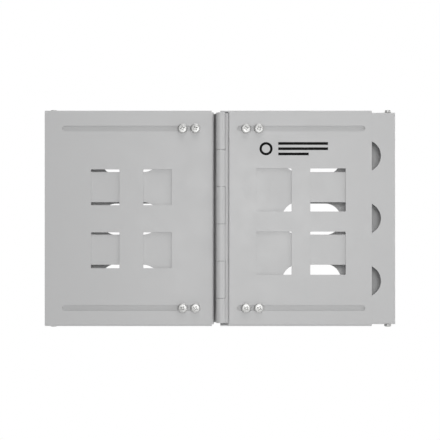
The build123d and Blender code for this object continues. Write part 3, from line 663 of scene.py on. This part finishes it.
def printed_mark():
    """A plain mark printed on the right sleeve: a ring beside three bars."""
    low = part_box("right_sleeve")[0]
    shape = bmesh.new()
    rings = []
    for radius in MARK_RING:
        ring = bmesh.ops.create_circle(shape, segments=MARK_RING_SEGMENTS, radius=radius)["verts"]
        rings += {edge for vert in ring for edge in vert.link_edges}
    bmesh.ops.bridge_loops(shape, edges=rings)
    for row, length in zip((1, 0, -1), MARK_BARS):
        bar = bmesh.ops.create_grid(shape, x_segments=1, y_segments=1, size=0.5)["verts"]
        bmesh.ops.scale(shape, vec=(length, MARK_BAR_HEIGHT, 1.0), verts=bar)
        bmesh.ops.translate(shape, vec=(MARK_BAR_START + length / 2, row * MARK_PITCH, 0), verts=bar)
    raised = bmesh.ops.extrude_face_region(shape, geom=shape.faces[:])["geom"]
    tops = [item for item in raised if isinstance(item, bmesh.types.BMVert)]
    bmesh.ops.translate(shape, vec=(0, 0, MARK_INK), verts=tops)
    bmesh.ops.recalc_face_normals(shape, faces=shape.faces)
    place = Matrix.Translation((low.x + MARK_X * MM, low.y, MARK_Z * MM)) @ TO_FRONT
    bmesh.ops.transform(shape, matrix=place @ Matrix.Scale(MM, 4), verts=shape.verts)
    piece = finish_mesh("printed_mark", to_mesh(shape, "printed_mark"), PRINT_INK)
    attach(piece, "right_sleeve")


def dress_halves():
    """The pieces that both halves have."""
    for side in ("left", "right"):
        for part in ("sleeve", "tray", "back_shell", "hinge_leaf", "tie_bar_upper", "tie_bar_lower"):
            eased_copy(f"{side}_{part}", SHEET_EDGE)
        front_screws(f"{side}_clamp_screws", PAN_M4, turn=0.9)
        front_screws(f"{side}_tie_bar_screws", PAN_M3, turn=0.6)
        side_screws(f"{side}_side_screws")
        eased_copy(f"{side}_clinch_nuts", NUT_EDGE)
        eased_copy(f"{side}_flush_screws", FLUSH_EDGE)


def dress_inside():
    """The hinge pin, the fibre parts and the earth point."""
    eased_copy("hinge_pin", SMALL_PART_EDGE).data.materials[0] = PIN_STEEL
    for node in ("adapter_bracket", "splice_comb_upper", "splice_comb_lower", "earth_stud",
                 "earth_washer", "earth_nut"):
        eased_copy(node, SMALL_PART_EDGE)
    for node in ("splice_cassette", "splice_cassette_cover"):
        eased_copy(node, CASSETTE_EDGE)
    for number in range(1, 7):
        eased_copy(f"sc_adapter_{number}", ADAPTER_EDGE)
        eased_copy(f"adapter_cap_inner_{number}", CAP_EDGE)
        eased_copy(f"adapter_cap_outer_{number}", CAP_EDGE)
    front_screws("adapter_bracket_screws", PAN_M3, turn=0.8)
    front_screws("splice_cassette_screws", PAN_M3, turn=1.2)
    adapter_screws()


def finish_kept_nodes():
    """Gives the CAD nodes that stay visible their slot's material."""
    for node, shown in frame["nodes"].items():
        if not shown.hide_render:
            shown.data.materials.clear()
            shown.data.materials.append(FINISHES[NODE_SLOT[node]])


dress_halves()
dress_inside()
printed_mark()
finish_kept_nodes()


# --------------------------------------------------------------------- stage

hinge = centre_of("hinge_pin")
hinge.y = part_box("right_sleeve")[0].y
hinge.z = 0.0


def pale_floor():
    """A wide round floor well below the object."""
    material, _, shader = start_material("studio_white")
    shader.inputs["Base Color"].default_value = (*STUDIO_WHITE, 1.0)
    shader.inputs["Roughness"].default_value = 0.9
    shape = bmesh.new()
    bmesh.ops.create_circle(shape, cap_ends=True, segments=FLOOR_SEGMENTS, radius=FLOOR_R)
    bmesh.ops.translate(shape, vec=(hinge.x, 0, -FLOOR_DROP), verts=shape.verts)
    finish_mesh("studio_floor", to_mesh(shape, "studio_floor"), material)


def soft_light(name, offset, size, watts):
    """A square softbox, offset from the hinge and aimed at it."""
    data = bpy.data.lights.new(name, "AREA")
    data.shape = "SQUARE"
    data.size = size
    data.energy = watts
    lamp = bpy.data.objects.new(name, data)
    place = hinge + Vector(offset)
    lamp.location = place
    lamp.visible_camera = False
    lamp.rotation_euler = (hinge - place).to_track_quat("-Z", "Y").to_euler()
    bpy.context.scene.collection.objects.link(lamp)


def white_surroundings(seen, lit):
    """White world: pure white where it is seen, softer where it lights."""
    world = bpy.data.worlds.new("studio")
    world.use_nodes = True
    tree = world.node_tree
    background = tree.nodes["Background"]
    background.inputs["Color"].default_value = (1, 1, 1, 1)
    path = tree.nodes.new("ShaderNodeLightPath")
    strength = add_range(tree, path.outputs["Is Camera Ray"], to_low=lit, to_high=seen)
    tree.links.new(strength, background.inputs["Strength"])
    bpy.context.scene.world = world


def front_camera():
    """Camera square to the front, a little below the middle, with its frame shifted up to the object."""
    data = bpy.data.cameras.new("camera")
    data.sensor_width = SENSOR
    data.lens = SENSOR * CAMERA_DISTANCE / VIEW_WIDTH
    data.shift_x, data.shift_y = VIEW_SHIFT
    camera = bpy.data.objects.new("camera", data)
    camera.location = hinge + Vector((0, -CAMERA_DISTANCE, -CAMERA_DROP))
    camera.rotation_euler = (math.radians(90), 0, 0)
    bpy.context.scene.collection.objects.link(camera)
    bpy.context.scene.camera = camera


pale_floor()
white_surroundings(seen=1.0, lit=0.12)
soft_light("front", (0.0, -1.25, 0.15), size=1.5, watts=1.2)
soft_light("near_camera", (0.042, -0.85, 0.048), size=0.18, watts=2.55)
soft_light("overhead", (0.1, -0.30, 1.0), size=0.8, watts=5.2)
soft_light("right", (1.0, -0.25, 0.1), size=0.8, watts=2.6)
soft_light("back_left", (-0.9, 0.9, 0.3), size=0.8, watts=9.0)
soft_light("back_right", (0.9, 0.9, 0.3), size=0.8, watts=9.0)
front_camera()
bpy.context.scene.view_settings.view_transform = "Standard"
